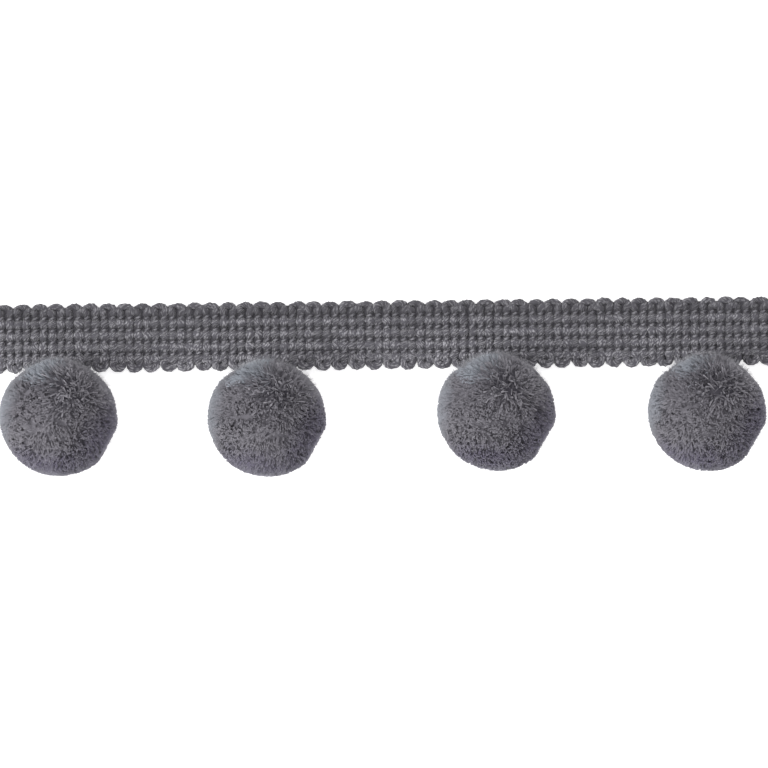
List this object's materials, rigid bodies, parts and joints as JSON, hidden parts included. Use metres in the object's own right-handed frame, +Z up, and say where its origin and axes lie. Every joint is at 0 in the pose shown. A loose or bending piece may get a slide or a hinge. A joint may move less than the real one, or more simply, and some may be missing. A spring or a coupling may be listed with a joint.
{
  "type": "pompom fringe trim",
  "caption": "Cut length of corded braid with scalloped edges and yarn pompoms tied along its lower edge, lying flat.",
  "frame": {"origin": "on the surface that the trim lies on, under the middle of its outline", "axes": "+X runs along the braid, +Y points from the pompoms to the braid, +Z is up, off the braid's face"},
  "size_m": [0.2224, 0.044, 0.0285],
  "materials": {
    "braid_yarn": "soft plied cord, matt, grey",
    "pompom_yarn": "dense cut pile, matt with a faint sheen, grey",
    "tie_yarn": "two-ply thread, matt, grey"
  },
  "bodies": {
    "root": {"band": "braid_yarn", "pompom_1": "pompom_yarn", "pompom_2": "pompom_yarn", "pompom_3": "pompom_yarn", "pompom_4": "pompom_yarn", "tie_1": "tie_yarn", "tie_2": "tie_yarn", "tie_3": "tie_yarn", "tie_4": "tie_yarn"}
  },
  "joints": []
}
